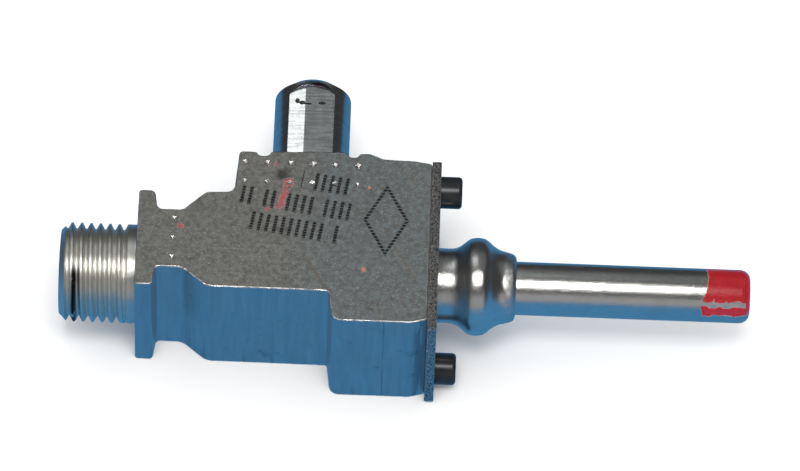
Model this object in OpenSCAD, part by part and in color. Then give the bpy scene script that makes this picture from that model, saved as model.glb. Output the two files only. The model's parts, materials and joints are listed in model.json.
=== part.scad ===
// Push-to-turn gas valve with a tapered plug, for a range or cooktop burner.
// Millimetres. X runs along the stem from the outlet to the knob end, Y runs out
// along the inlet spigot, and Z is normal to the two sawn faces of the body.
// The origin lies on the back sawn face, below the point where the stem's axis
// and the spigot's axis cross.

/* [Body] */
// Depth of the sawn length of extrusion, back face to front face
body_depth = 15.5; // [15:0.1:18]
// Height of the top edge above the stem's axis
body_top = 11.6; // [11:0.1:13]
// Drop of the cover end below the stem's axis
body_drop = 10.1; // [9.8:0.1:12]
// Where the cover face lies along the stem's axis
cover_face_x = 13.8; // [13.8:0.1:15]
// Half width of the flange behind the outlet thread
flange_half = 6.3; // [6:0.1:7]
// Half width of the neck between flange and body
neck_half = 3.85; // [3.6:0.1:5]
// Where the flange's outer face lies
flange_x = -18.9; // [-20:0.1:-18]

/* [Outlet thread] */
// Major diameter, 7/16 inch
thread_d = 11.1125; // [11:0.0025:11.2]
// Pitch, 24 threads an inch
thread_pitch = 1.058; // [1:0.002:1.1]
// Length of the stub outside the flange
stub_l = 8.6; // [8:0.1:11]
// Radius of the socket that takes a quarter inch tube
tube_socket_r = 3.2; // [3.1:0.05:3.3]
// Depth of the tube socket
tube_socket_l = 5.5; // [4:0.1:6]

/* [Inlet spigot] */
// Diameter of the spigot
spigot_d = 8.66; // [8.4:0.02:9]
// Height of its end above the stem's axis
spigot_top = 25.4; // [22:0.1:28]
// Distance of the milled flat from the spigot's axis
spigot_flat = 3.6; // [3.4:0.05:4.2]
// Radius of the gas passage
inlet_r = 2.2; // [1.8:0.05:2.3]

/* [Plug] */
// Radius of the taper at its small end
taper_r_small = 3.6; // [3.4:0.05:3.7]
// Radius of the taper at its large end
taper_r_large = 5.0; // [4.8:0.05:5.0]
// Running gap between the plug and its seat, filled with grease
taper_gap = 0.06; // [0.04:0.01:0.08]
// Angle turned from off to low
turn_range = 215; // [180:5:225]

/* [Stem] */
// Diameter of the stem
stem_d = 6.0; // [6:0.05:6.1]
// Where the knob end lies
stem_tip_x = 49.9; // [40:0.1:60]
// Length of the flat for the knob
stem_flat_l = 12; // [8:0.5:16]
// Distance of that flat from the stem's axis
stem_flat = 2.2; // [2.2:0.05:2.8]
// How far the stem can be pushed in
push_travel = 2.4; // [1.5:0.1:2.4]

/* [Cover and bonnet] */
// Thickness of the stamped cover plate
plate_t = 1.05; // [0.9:0.05:1.3]
// Height of the plate's top edge
plate_top = 11.7; // [11:0.1:13]
// Drop of the plate's bottom edge
plate_drop = 10.75; // [10.3:0.05:12]
// Radius at the widest part of the bonnet's bead
bead_r = 5.43; // [5.2:0.01:5.6]
// Wall of the drawn bonnet
bonnet_wall = 0.6; // [0.5:0.05:0.65]

/* [Hidden] */
$fn = 64;
EPS = 0.01;
RUNNING_GAP = 0.05;

ALUMINIUM = [0.55, 0.55, 0.53];
BRASS = [0.78, 0.62, 0.30];
STEEL = [0.66, 0.66, 0.66];
SPRING_STEEL = [0.45, 0.46, 0.48];
BLACK_OXIDE = [0.10, 0.10, 0.11];
NITRILE = [0.07, 0.07, 0.07];

axis_z = body_depth / 2;
stub_tip_x = flange_x - stub_l;

// Plug and seat, along the stem's axis
taper_x0 = -8.5;
taper_x1 = 4.5;
hub_r = 4.2;
hub_end_x = 9.3;
hub_bore_r = 2.55;
hub_floor_x = 3.8;
drive_slot_w = 2.1;
port_r = 1.7;
outlet_r = 2.4;
plug_bore_r = 2.2;
plug_bore_end_x = 1.8;
high_angle = 90;

// Spring chamber and the recess that holds the stop ring and bonnet flange
chamber_r = 5.4;
recess_r = 6.6;
recess_x = 9.2;
bonnet_flange_x = cover_face_x - 0.8;
seat_washer_t = 0.45;

// Drive collar and stop
collar_t = 0.85;
collar_x = bonnet_flange_x - 0.15 - collar_t;
collar_r = 5.2;
stop_tab_r = 6.0;
stop_channel_r = 6.15;
stop_tab_angle = 20;
stop_margin = 3;
stop_tab_rest = 200;
sleeve_r = 2.45;
sleeve_x = 7.3;
ear_x = 7.6;
ear_l = 1.4;
ear_r = 4.0;
ear_w = 1.9;
drive_slot_x = ear_x - push_travel - 0.3;

// Stem
stem_r = stem_d / 2;
stem_neck_r = 1.9;
stem_bore_r = 1.2;
stem_inner_x = hub_floor_x + push_travel + 0.4;
stem_chamfer = 0.9;
stem_flat_angle = 45;
relief_x = 23.75;
relief_l = 0.6;
relief_depth = 0.2;

// Bonnet outline
bonnet_neck_r = 4.1;
bonnet_nose_r = 3.8;
bonnet_bore_r = stem_r + RUNNING_GAP;
bead_x = 19.2;
bead_l = 2.1;
nose_x = 23.2;
bonnet_end_x = 23.65;

// Cover screws, 2-56 cap screws in two diagonal corners
screw_y = 8.15;
screw_z = 5.6;
screw_shift_y = 0.65;
screw_r = 1.09;
screw_head_r = 1.8;
screw_head_h = 2.4;
screw_l = 8;
screw_socket_af = 1.98;

// ---------------------------------------------------------------- helpers

function unit(v) = v / norm(v);

// Points of one outline corner p, rounded to radius r, between its neighbours.
function rounded(before, p, after, r, steps = 6) =
    let (u = unit(before - p), w = unit(after - p),
         half = acos(u * w) / 2,
         centre = p + unit(u + w) * r / sin(half),
         start = p + u * r / tan(half) - centre,
         turn = (cross(u, w) > 0 ? -1 : 1) * (180 - 2 * half))
    [for (i = [0 : steps])
        let (a = turn * i / steps)
        centre + [start.x * cos(a) - start.y * sin(a),
                  start.x * sin(a) + start.y * cos(a)]];

// Outline from rows of [x, y, corner radius].
function outline(rows) =
    let (n = len(rows), xy = [for (row = rows) [row.x, row.y]])
    [for (i = [0 : n - 1])
        each rounded(xy[(i + n - 1) % n], xy[i], xy[(i + 1) % n], rows[i].z)];

// Cylinder or cone along the stem's axis, from x0 to x1.
module rod(x0, x1, r, r_end = undef) {
    translate([x0, 0, axis_z]) rotate([0, 90, 0])
        cylinder(r1 = r, r2 = is_undef(r_end) ? r : r_end, h = x1 - x0);
}

// Cylinder or cone along the spigot's axis, from y0 to y1.
module riser(y0, y1, r, r_end = undef) {
    translate([0, y0, axis_z]) rotate([-90, 0, 0])
        cylinder(r1 = r, r2 = is_undef(r_end) ? r : r_end, h = y1 - y0);
}

// Solid turned about the stem's axis from a profile of [radius, x].
module turned(profile) {
    translate([0, 0, axis_z]) rotate([0, 90, 0])
        rotate_extrude() polygon(profile);
}

// Ring of round section about the stem's axis.
module torus(x, ring_r, section_r) {
    translate([x, 0, axis_z]) rotate([0, 90, 0])
        rotate_extrude() translate([ring_r, 0]) circle(r = section_r, $fn = 24);
}

// Wedge about the stem's axis. Angles turn from +Y towards +Z.
module wedge(x0, x1, r, from, span) {
    steps = ceil(span / 45);
    translate([x0, 0, axis_z]) rotate([90, 0, 90])
        linear_extrude(x1 - x0)
            polygon(concat([[0, 0]],
                [for (i = [0 : steps])
                    let (a = from + span * i / steps)
                    2 * r * [cos(a), sin(a)]]));
}

// ------------------------------------------------------------- valve body

// Front view of the extrusion, from the outlet flange round clockwise.
body_outline = [
    [flange_x, flange_half, 0.25],
    [-17.1, flange_half, 0.7],
    [-16.75, neck_half, 0.7],
    [-13.9, neck_half, 0.8],
    [-11.4, 6.35, 0.7],
    [-8.3, 6.5, 0.9],
    [-7.9, body_top + 0.4, 0.45],
    [-6.0, body_top + 0.4, 0.25],
    [-5.7, body_top - 0.1, 0.2],
    [-4.7, body_top - 0.1, 0.2],
    [-4.3, body_top + 0.5, 0.3],
    [4.1, body_top + 0.75, 0.3],
    [4.5, body_top + 0.1, 0.2],
    [5.3, body_top + 0.1, 0.2],
    [5.7, body_top + 0.65, 0.25],
    [6.8, body_top + 0.65, 0.4],
    [8.3, body_top, 0.6],
    [cover_face_x - 2, body_top - 0.1, 0.6],
    [cover_face_x, body_top - 0.4, 0.2],
    [cover_face_x, 0.5 - body_drop, 0.2],
    [cover_face_x - 1.8, -body_drop, 1.2],
    [3.2, -body_drop, 0.7],
    [2.7, -6.3, 0.3],
    [-10.9, -6.25, 0.8],
    [-13.7, -neck_half, 0.8],
    [-16.6, -neck_half, 0.5],
    [-16.95, -flange_half, 0.4],
    [flange_x, -flange_half, 0.25]];

module thread_grooves() {
    depth = 0.6;
    crest = 0.16;
    count = 6;
    first_x = stub_tip_x + 1.5;
    for (i = [0 : count - 1])
        translate([first_x + i * thread_pitch, 0, axis_z]) rotate([0, 90, 0])
            rotate_extrude() polygon([
                [thread_d / 2 + 0.2, -thread_pitch / 2 + crest / 4],
                [thread_d / 2 + 0.2, thread_pitch / 2 - crest / 4],
                [thread_d / 2, thread_pitch / 2 - crest / 2],
                [thread_d / 2 - depth, 0.07],
                [thread_d / 2 - depth, -0.07],
                [thread_d / 2, -thread_pitch / 2 + crest / 2]]);
}

module outlet_stub() {
    chamfer = 0.85;
    difference() {
        union() {
            rod(stub_tip_x, stub_tip_x + chamfer, thread_d / 2 - chamfer, thread_d / 2);
            rod(stub_tip_x + chamfer, flange_x + 0.5, thread_d / 2);
        }
        thread_grooves();
    }
}

module inlet_spigot() {
    chamfer = 0.9;
    root = 0.4;
    root_y = body_top + 0.45;
    r = spigot_d / 2;
    difference() {
        union() {
            riser(body_top - 2, root_y, r + root);
            riser(root_y - EPS, root_y + root, r + root, r);
            riser(root_y, spigot_top - chamfer, r);
            riser(spigot_top - chamfer, spigot_top, r, r - chamfer);
        }
        translate([-r, body_top - 3, axis_z + spigot_flat])
            cube([2 * r, spigot_top, r]);
    }
}

// Plug seat, spring chamber, gas passages and the tube socket.
module body_bores() {
    rod(taper_x0 - EPS, taper_x1 + 0.2, taper_r_small + taper_gap,
        taper_r_large + taper_gap);
    rod(taper_x1 + 0.2 - EPS, recess_x + EPS, chamber_r);
    rod(recess_x, cover_face_x + 1, recess_r);
    rod(stub_tip_x + tube_socket_l - EPS, taper_x0, outlet_r);
    rod(stub_tip_x - 1, stub_tip_x + tube_socket_l, tube_socket_r);
    rod(stub_tip_x - EPS, stub_tip_x + 1.2, tube_socket_r + 0.8, tube_socket_r);
    riser(0, spigot_top + 1, inlet_r);
    riser(spigot_top - 0.4, spigot_top + EPS, inlet_r, inlet_r + 0.4);
}

// Small cone marks on the front sawn face, on a tenth of an inch grid.
module gripper_marks() {
    grid = 2.54;
    spots = concat(
        [for (i = [0 : 5], j = [0 : 1]) [-7.2 + i * grid, 10.5 - j * grid]],
        [for (j = [0 : 2]) [-14.85, 2.5 - j * grid]]);
    for (spot = spots)
        translate([spot.x, spot.y, body_depth - 0.25])
            cylinder(r1 = 0.05, r2 = 0.45, h = 0.25 + EPS, $fn = 24);
}

module at_cover_screws(which) {
    for (side = which)
        translate([0, side * screw_y + screw_shift_y, side * screw_z]) children();
}

module valve_body() {
    color(ALUMINIUM) difference() {
        union() {
            linear_extrude(body_depth) polygon(outline(body_outline));
            outlet_stub();
            inlet_spigot();
        }
        body_bores();
        gripper_marks();
        at_cover_screws([-1, 1]) rod(cover_face_x - screw_l, cover_face_x + 1, screw_r);
    }
}

// ------------------------------------------------- plug and what turns with it

// Meters the flame down from high to low along the plug's surface.
module metering_groove() {
    intersection() {
        turned([[taper_r_small - 0.2, -0.5], [taper_r_large + 1, -0.5],
                [taper_r_large + 1, 0.5], [taper_r_small - 0.2, 0.5]]);
        wedge(-1, 1, taper_r_large, -high_angle - 60, 50);
    }
}

module plug() {
    color(BRASS) difference() {
        union() {
            rod(taper_x0 + 0.3, taper_x1, taper_r_small + 0.03, taper_r_large);
            rod(taper_x1 - EPS, hub_end_x, hub_r);
        }
        rod(taper_x0 - 1, plug_bore_end_x, plug_bore_r);
        rod(hub_floor_x, hub_end_x + 1, hub_bore_r);
        rod(hub_floor_x - 1.3, hub_floor_x + EPS, 1.5);
        rod(plug_bore_end_x - EPS, hub_floor_x, 0.8);
        // High-flame port, then the small low-flame port
        translate([0, 0, axis_z]) rotate([-high_angle, 0, 0])
            rotate([-90, 0, 0]) cylinder(r = port_r, h = taper_r_large + 1);
        translate([0, 0, axis_z]) rotate([5 - turn_range, 0, 0])
            rotate([-90, 0, 0]) cylinder(r = 0.45, h = taper_r_large + 1, $fn = 24);
        metering_groove();
        translate([drive_slot_x, -hub_r - 1, axis_z - drive_slot_w / 2])
            cube([hub_end_x, 2 * hub_r + 2, drive_slot_w]);
    }
}

module seat_washer() {
    color(STEEL) difference() {
        rod(taper_x1, taper_x1 + seat_washer_t, taper_r_large - 0.05);
        rod(taper_x1 - 1, taper_x1 + 1, hub_r);
    }
}

module bypass_screw() {
    head_x = hub_floor_x - 0.75;
    color(BRASS) difference() {
        union() {
            rod(head_x, hub_floor_x - 0.05, 1.4);
            rod(plug_bore_end_x - 0.6, head_x + EPS, 0.8);
            rod(plug_bore_end_x - 1.5, plug_bore_end_x - 0.6 + EPS, 0.2, 0.8);
        }
        translate([hub_floor_x - 0.45, -2, axis_z - 0.2]) cube([1, 4, 0.4]);
    }
}

module bypass_o_ring() {
    color(NITRILE) torus(hub_floor_x - 1.02, 1.11, 0.27);
}

// -------------------------------------------------------------- spring

spring_wire_r = 0.3;
spring_mean_r = 4.7;
spring_turns = 4.5;
spring_x0 = taper_x1 + seat_washer_t + spring_wire_r;
spring_x1 = collar_x - spring_wire_r;

// Point on the middle of the wire, t turns from the seat end. The first and last
// turns lie almost flat, as closed ends do.
function spring_point(t) =
    let (rise = t < 1 ? 0.04 * t
              : t > spring_turns - 1 ? 1 - 0.04 * (spring_turns - t)
              : 0.04 + 0.92 * (t - 1) / (spring_turns - 2))
    [spring_x0 + (spring_x1 - spring_x0) * rise,
     spring_mean_r * cos(360 * t), spring_mean_r * sin(360 * t)];

// Tube of a few sides swept along the helix.
module return_spring() {
    sides = 8;
    per_turn = 20;
    rings = spring_turns * per_turn;
    points = [for (k = [0 : rings], s = [0 : sides - 1])
        let (c = spring_point(k / per_turn),
             outward = [0, cos(360 * k / per_turn), sin(360 * k / per_turn)],
             a = 360 * s / sides)
        c + spring_wire_r * (outward * cos(a) + [1, 0, 0] * sin(a))];
    walls = [for (k = [0 : rings - 1], s = [0 : sides - 1])
        let (a = k * sides + s, b = k * sides + (s + 1) % sides)
        [a, a + sides, b + sides, b]];
    ends = [[for (s = [0 : sides - 1]) s],
            [for (s = [sides - 1 : -1 : 0]) rings * sides + s]];
    color(SPRING_STEEL) translate([0, 0, axis_z])
        polyhedron(points, concat(walls, ends));
}

// ------------------------------------------- stem and what is fixed to it

module drive_collar() {
    color(STEEL) difference() {
        union() {
            rod(collar_x, collar_x + collar_t, collar_r);
            rod(sleeve_x, collar_x + EPS, sleeve_r);
            intersection() {
                rod(collar_x, collar_x + collar_t, stop_tab_r);
                wedge(collar_x - 1, collar_x + 2, stop_tab_r,
                      stop_tab_rest - stop_tab_angle / 2, stop_tab_angle);
            }
            intersection() {
                rod(ear_x, ear_x + ear_l, ear_r);
                translate([ear_x, -ear_r, axis_z - ear_w / 2])
                    cube([ear_l, 2 * ear_r, ear_w]);
            }
        }
        rod(sleeve_x - 1, collar_x + collar_t + 1, stem_neck_r);
    }
}

module stem_snap_ring() {
    color(SPRING_STEEL) difference() {
        rod(sleeve_x - 0.35, sleeve_x, sleeve_r - 0.05);
        rod(sleeve_x - 1, sleeve_x + 1, 1.65);
        translate([sleeve_x - 1, 0, axis_z - 0.5]) cube([2, 4, 1]);
    }
}

module stem() {
    shoulder_x = collar_x + collar_t;
    flat_x = stem_tip_x - stem_flat_l;
    color(STEEL) difference() {
        union() {
            rod(stem_inner_x, sleeve_x - 0.35, stem_neck_r);
            rod(sleeve_x - 0.36, sleeve_x + EPS, 1.65);
            rod(sleeve_x, shoulder_x + EPS, stem_neck_r);
            rod(shoulder_x, relief_x, stem_r);
            rod(relief_x - EPS, relief_x + relief_l + EPS, stem_r - relief_depth);
            rod(relief_x + relief_l, stem_tip_x - stem_chamfer, stem_r);
            rod(stem_tip_x - stem_chamfer, stem_tip_x, stem_r, stem_r - stem_chamfer);
        }
        rod(stem_inner_x - 1, stem_tip_x + 1, stem_bore_r);
        translate([0, 0, axis_z]) rotate([-stem_flat_angle, 0, 0])
            translate([flat_x, stem_flat, -stem_r])
                cube([stem_flat_l + 1, stem_r, 2 * stem_r]);
    }
}

// ------------------------------------- ring, seal, bonnet, plate and screws

// Fixed ring with an inner channel. The collar's tab runs in the channel and
// meets the ends of the block that is left at off and at low.
module stop_ring() {
    channel_from = stop_tab_rest - stop_tab_angle / 2 - stop_margin;
    channel_span = turn_range + stop_tab_angle + 2 * stop_margin;
    color(STEEL) difference() {
        rod(recess_x, bonnet_flange_x, recess_r);
        rod(recess_x - 1, bonnet_flange_x + 1, chamber_r);
        intersection() {
            rod(recess_x - 1, bonnet_flange_x + 1, stop_channel_r);
            wedge(recess_x - 1, bonnet_flange_x + 1, recess_r,
                  channel_from, channel_span);
        }
    }
}

module stem_seal() {
    color(NITRILE) torus(bead_x, stem_r + 0.85, 0.8);
}

// Drawn steel bonnet: a flange that the plate clamps, a neck, a bead round the
// seal, and a nose that guides the stem.
module stem_bonnet() {
    w = bonnet_wall;
    bead = [for (a = [-60 : 15 : 60]) [cos(a), sin(a)]];
    bead_rise = bead_r - bonnet_neck_r;
    outer = concat(
        [[recess_r, bonnet_flange_x], [recess_r, cover_face_x],
         [bonnet_neck_r, cover_face_x], [bonnet_neck_r, bead_x - 2.9]],
        [for (p = bead) [bonnet_neck_r + bead_rise * (2 * p.x - 1),
                         bead_x + bead_l * p.y / sin(60)]],
        [[bonnet_nose_r, nose_x], [bonnet_nose_r - 0.15, bonnet_end_x - 0.15],
         [bonnet_nose_r - 0.4, bonnet_end_x]]);
    inner = concat(
        [[bonnet_bore_r, bonnet_end_x], [bonnet_bore_r, bead_x + bead_l + 0.6]],
        [for (i = [len(bead) - 1 : -1 : 0])
            let (p = bead[i])
            [bonnet_neck_r - w + bead_rise * (2 * p.x - 1),
             bead_x + (bead_l - w / 2) * p.y / sin(60)]],
        [[bonnet_neck_r - w, bead_x - 2.6], [bonnet_neck_r - w, bonnet_flange_x]]);
    color(STEEL) turned(concat(outer, inner));
}

module cover_plate() {
    plate_x = [cover_face_x, cover_face_x + plate_t];
    inset = 0.1;
    corner = 1.6;
    rows = [[-plate_drop, inset, corner], [plate_top, inset, corner],
            [plate_top, body_depth - inset, corner],
            [-plate_drop, body_depth - inset, corner]];
    color(STEEL) difference() {
        translate([plate_x[0], 0, 0]) rotate([90, 0, 90])
            linear_extrude(plate_t) polygon(outline(rows));
        rod(plate_x[0] - 1, plate_x[1] + 1, bonnet_neck_r);
        at_cover_screws([-1, 1]) rod(plate_x[0] - 1, plate_x[1] + 1, screw_r + 0.1);
    }
}

module cover_screw(side) {
    head_x = cover_face_x + plate_t;
    edge = 0.3;
    color(BLACK_OXIDE) at_cover_screws([side]) difference() {
        union() {
            rod(cover_face_x - screw_l + 0.5, head_x + EPS, screw_r);
            rod(head_x, head_x + screw_head_h - edge, screw_head_r);
            rod(head_x + screw_head_h - edge, head_x + screw_head_h,
                screw_head_r, screw_head_r - edge);
        }
        translate([head_x + screw_head_h - 1.1, 0, axis_z]) rotate([0, 90, 0])
            cylinder(d = screw_socket_af / cos(30), h = 2, $fn = 6);
    }
}

module cover_screw_upper() { cover_screw(1); }
module cover_screw_lower() { cover_screw(-1); }

valve_body();
plug();
seat_washer();
bypass_screw();
bypass_o_ring();
return_spring();
stop_ring();
drive_collar();
stem_snap_ring();
stem();
stem_seal();
stem_bonnet();
cover_plate();
cover_screw_upper();
cover_screw_lower();
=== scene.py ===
# %% [markdown]
# # A push-to-turn gas valve
#
# The valve meters gas to one burner. A length of extruded aluminium was sawn off,
# drilled and turned. A stamped plate, held by two black cap screws, clamps a
# drawn steel bonnet, and the stem with the D flat comes out through the bonnet.
#
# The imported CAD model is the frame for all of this. It is loaded first, and every
# size that the pieces share is read from it, so that nothing needs fitting later.

# %% Load the frame
import json
import math
import random

import bmesh
import bpy
from mathutils import Matrix, Vector


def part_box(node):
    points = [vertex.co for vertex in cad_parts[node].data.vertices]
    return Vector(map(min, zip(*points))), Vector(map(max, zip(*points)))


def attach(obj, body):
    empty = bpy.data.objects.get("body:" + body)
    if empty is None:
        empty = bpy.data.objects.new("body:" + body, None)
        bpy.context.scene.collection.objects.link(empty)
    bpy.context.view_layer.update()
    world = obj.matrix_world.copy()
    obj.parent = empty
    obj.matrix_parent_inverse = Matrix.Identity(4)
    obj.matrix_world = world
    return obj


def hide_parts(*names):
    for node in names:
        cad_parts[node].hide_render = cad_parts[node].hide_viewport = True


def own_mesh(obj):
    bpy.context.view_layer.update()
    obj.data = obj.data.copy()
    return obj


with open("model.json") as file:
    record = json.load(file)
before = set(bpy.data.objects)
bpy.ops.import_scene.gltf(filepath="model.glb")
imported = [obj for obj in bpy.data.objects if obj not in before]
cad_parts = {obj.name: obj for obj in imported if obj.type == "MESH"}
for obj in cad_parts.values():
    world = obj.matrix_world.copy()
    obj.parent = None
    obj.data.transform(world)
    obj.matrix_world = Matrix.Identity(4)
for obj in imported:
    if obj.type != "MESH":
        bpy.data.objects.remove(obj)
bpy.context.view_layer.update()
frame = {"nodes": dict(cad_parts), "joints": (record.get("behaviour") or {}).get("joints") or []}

MM = 0.001
body_low, body_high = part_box("valve_body")
plate_low, plate_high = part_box("cover_plate")
stem_low, stem_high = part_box("stem")
bonnet_low, bonnet_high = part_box("stem_bonnet")
axis_z = (body_low.z + body_high.z) / 2
depth = body_high.z - body_low.z
print("body", [round(v / MM, 2) for v in (*body_low, *body_high)], "axis", axis_z / MM)

# %% [markdown]
# ## Picking things by code
#
# An operator acts on whatever is selected, and the loaded CAD nodes are selected
# from the start. So each step first deselects everything, and in edit mode the
# faces or edges are picked by their place or by the way they face.

# %% Selecting
def deselect():
    if bpy.context.mode != "OBJECT":
        bpy.ops.object.mode_set(mode="OBJECT")
    bpy.ops.object.select_all(action="DESELECT")


def activate(piece):
    deselect()
    piece.select_set(True)
    bpy.context.view_layer.objects.active = piece


def edit(piece, kind="FACE", test=None):
    """Edit mode with the faces or edges that pass the test picked, or all of them."""
    activate(piece)
    bpy.ops.object.mode_set(mode="EDIT")
    bpy.ops.mesh.select_mode(type=kind)
    bpy.ops.mesh.select_all(action="DESELECT" if test else "SELECT")
    if test:
        mesh = bmesh.from_edit_mesh(piece.data)
        for item in mesh.faces if kind == "FACE" else mesh.edges:
            item.select_set(test(item))
        bmesh.update_edit_mesh(piece.data)


def new_piece(name):
    piece = bpy.context.object
    piece.name = piece.data.name = name
    return piece


def tidy_mesh(piece):
    """Merges doubles and turns the faces outwards."""
    edit(piece)
    bpy.ops.mesh.remove_doubles(threshold=MM / 1000)
    bpy.ops.mesh.dissolve_degenerate(threshold=MM / 1000)
    bpy.ops.mesh.normals_make_consistent(inside=False)
    deselect()


def cut_to_triangles(piece, test=None):
    """Bent faces have to be triangles before a cut, or the cut leaks."""
    edit(piece, "FACE", test)
    bpy.ops.mesh.quads_convert_to_tris(quad_method="BEAUTY", ngon_method="BEAUTY")
    deselect()


def report(piece):
    size = [round(v / MM, 2) for v in piece.dimensions]
    print(f"{piece.name}: {len(piece.data.polygons)} faces, {size} mm")


# %% [markdown]
# ## Turned shapes
#
# The stub, the spigot, the bonnet, the stem and every drilled hole are round about
# one of two axes. A circle is added with one vertex for each corner of the outline,
# its vertices are moved onto the outline, and `mesh.spin` turns it once round.
# An outline that starts and ends on the axis gives a solid, any other one a ring.

# %% Spin an outline
AXIS = {"X": Vector((1, 0, 0)), "Y": Vector((0, 1, 0))}


def turned(name, outline, axis="X", steps=96):
    """Solid or ring from [place along the axis, radius] corners in millimetres."""
    deselect()
    bpy.ops.mesh.primitive_circle_add(vertices=len(outline), radius=MM)
    piece = new_piece(name)
    for vertex, (place, radius) in zip(piece.data.vertices, outline):
        vertex.co = AXIS[axis] * place * MM + Vector((0, 0, axis_z + radius * MM))
    edit(piece)
    bpy.ops.mesh.spin(steps=steps, angle=math.tau, center=(0, 0, axis_z), axis=AXIS[axis])
    tidy_mesh(piece)
    return piece


def smooth_outline(corners, steps=5):
    """A curve through the corners, with a few places between each two of them."""
    rows = [corners[0], *corners, corners[-1]]
    curve = []
    for a, b, c, d in zip(rows, rows[1:], rows[2:], rows[3:]):
        for k in range(steps):
            t = k / steps
            curve.append([
                0.5 * (2 * q + (r - p) * t + (2 * p - 5 * q + 4 * r - s) * t ** 2
                       + (3 * q - p - 3 * r + s) * t ** 3)
                for p, q, r, s in zip(a, b, c, d)])
    return [*curve, list(corners[-1])]


def combine(piece, tool, operation):
    """Joins the tool to the piece or cuts it away. New faces keep their own finish."""
    activate(piece)
    bpy.ops.object.modifier_add(type="BOOLEAN")
    modifier = piece.modifiers[-1]
    modifier.operation = operation
    modifier.solver = "EXACT"
    modifier.material_mode = "TRANSFER"
    modifier.object = tool
    bpy.ops.object.modifier_apply(modifier=modifier.name)
    bpy.data.objects.remove(tool)
    deselect()


def finish_piece(piece, body, nodes, smooth=30):
    """Shading, and what the frame has to know: the body it rides on, the nodes it stands for."""
    activate(piece)
    bpy.ops.object.transform_apply(location=True, rotation=True, scale=True)
    bpy.ops.object.shade_smooth_by_angle(angle=math.radians(smooth))
    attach(piece, body)
    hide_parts(*nodes)
    report(piece)
    deselect()


# %% [markdown]
# ## Building materials from nodes
#
# A finish is a small graph. `put` adds one node and fills its sockets: a value is
# written into the socket, and another node's output is linked to it. Everything
# reads Object coordinates, which are metres in the frame, so a scratch or a grain
# has its real size on every piece.

# %% Node helpers
def put(tree, kind, inputs=None, **settings):
    node = tree.nodes.new("ShaderNode" + kind)
    for name, value in settings.items():
        setattr(node, name, value)
    for key, value in (inputs or {}).items():
        if isinstance(value, bpy.types.NodeSocket):
            tree.links.new(value, node.inputs[key])
        else:
            node.inputs[key].default_value = value
    return node


def calc(tree, operation, a, b=0.0, c=0.0, clamp=False):
    node = put(tree, "Math", {0: a, 1: b, 2: c}, operation=operation, use_clamp=clamp)
    return node.outputs[0]


def blend_colour(tree, share, first, second, kind="MIX"):
    """The first colour where share is 0 and the second where it is 1."""
    node = put(tree, "Mix", {0: share, 6: first, 7: second}, data_type="RGBA", blend_type=kind)
    return node.outputs[2]


def blend_value(tree, share, first, second):
    return put(tree, "Mix", {0: share, 2: first, 3: second}).outputs[0]


def between(tree, value, low, high):
    """0 below low, 1 above high, and a soft step from one to the other."""
    node = put(tree, "MapRange", {0: value, 1: low, 2: high}, interpolation_type="SMOOTHSTEP")
    return node.outputs[0]


def inside(tree, value, middle, half, soft=0.06):
    """1 near the middle and 0 further off than half."""
    off = calc(tree, "ABSOLUTE", calc(tree, "SUBTRACT", value, middle))
    return calc(tree, "SUBTRACT", 1.0, between(tree, off, half - soft, half + soft))


def noise(tree, place, per_mm, detail=4.0, rough=0.6, stretch=(1, 1, 1), turn=(0, 0, 0)):
    """Cloudy noise with about this many blobs to a millimetre, stretched or turned."""
    mapping = put(tree, "Mapping", {"Vector": place, "Rotation": turn,
                                    "Scale": [per_mm / MM * s for s in stretch]})
    node = put(tree, "TexNoise", {"Vector": mapping.outputs[0], "Scale": 1.0,
                                  "Detail": detail, "Roughness": rough})
    return node.outputs["Fac"]


def colour(r, g, b):
    return (r, g, b, 1.0)


# %% [markdown]
# ## Effects that several finishes share
#
# Each effect is a node group that puts out masks or heights only, and a finish then
# decides what to do with them. `fine_grain` is the frosty tooth of cut metal,
# `turning_marks` are the rings a lathe leaves, `fine_scratches` are straight rubs
# in a few directions, `stains` are dry drips and finger marks, and `worn_edge`
# finds edges by comparing the true normal with one rounded by the Bevel node.

# %% Groups
def new_group(name, sockets_in, sockets_out):
    """A group whose sockets are floats. Gives the tree and its two end nodes."""
    tree = bpy.data.node_groups.new(name, "ShaderNodeTree")
    for socket, value in sockets_in.items():
        made = tree.interface.new_socket(socket, in_out="INPUT", socket_type="NodeSocketFloat")
        made.default_value = value
    for socket in sockets_out:
        tree.interface.new_socket(socket, in_out="OUTPUT", socket_type="NodeSocketFloat")
    return tree, tree.nodes.new("NodeGroupInput"), tree.nodes.new("NodeGroupOutput")


def object_place(tree):
    return put(tree, "TexCoord").outputs["Object"]


def scaled(tree, factor):
    """Object coordinates in millimetres, times a factor socket."""
    node = put(tree, "VectorMath", {0: object_place(tree), "Scale": calc(
        tree, "MULTIPLY", factor, 1 / MM)}, operation="SCALE")
    return node.outputs[0]


def raw_noise(tree, place, detail, rough):
    return put(tree, "TexNoise", {"Vector": place, "Scale": 1.0, "Detail": detail,
                                  "Roughness": rough}).outputs["Fac"]


def make_fine_grain():
    tree, given, out = new_group("fine_grain", {"Per mm": 4.0, "Cut": 0.55}, ["Height", "Specks"])
    height = raw_noise(tree, scaled(tree, given.outputs[0]), 6.0, 0.75)
    fine = raw_noise(tree, scaled(tree, calc(tree, "MULTIPLY", given.outputs[0], 1.7)), 2.0, 0.5)
    specks = between(tree, fine, given.outputs[1], calc(tree, "ADD", given.outputs[1], 0.08))
    tree.links.new(height, out.inputs[0])
    tree.links.new(specks, out.inputs[1])
    return tree


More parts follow.
